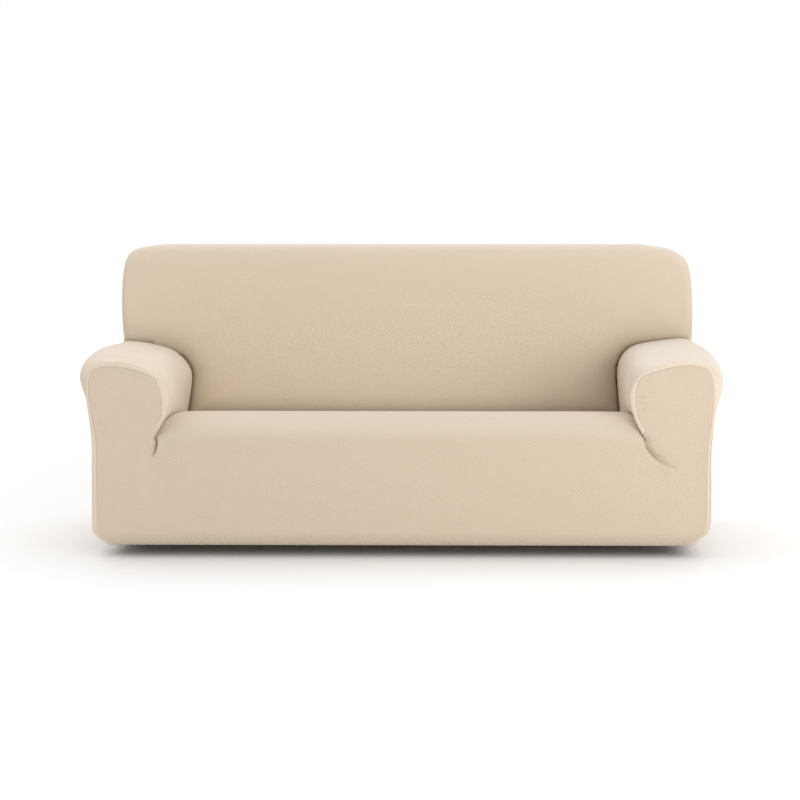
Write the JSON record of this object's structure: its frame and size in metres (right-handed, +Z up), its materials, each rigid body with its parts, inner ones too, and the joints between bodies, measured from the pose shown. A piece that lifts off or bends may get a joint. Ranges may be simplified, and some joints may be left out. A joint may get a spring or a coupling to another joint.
{
  "type": "fitted sofa slipcover",
  "caption": "Fitted stretch-knit slipcover in the shape it takes on a wide seat with a back and two rounded arms; hollow and open underneath.",
  "frame": {"origin": "on the inner face of the cloth, under the middle of the top of the back, where the cover hangs", "axes": "+X to the right along the cover's width as seen from the front, +Y to the rear, +Z up"},
  "size_m": [1.9815, 0.8781, 0.8942],
  "materials": {
    "knit": "beige stretch knit with a small diamond pattern"
  },
  "bodies": {
    "root": {"front_panel": "knit", "sleeve_left": "knit", "sleeve_right": "knit", "back_panel": "knit", "rear_panel": "knit"}
  },
  "joints": []
}
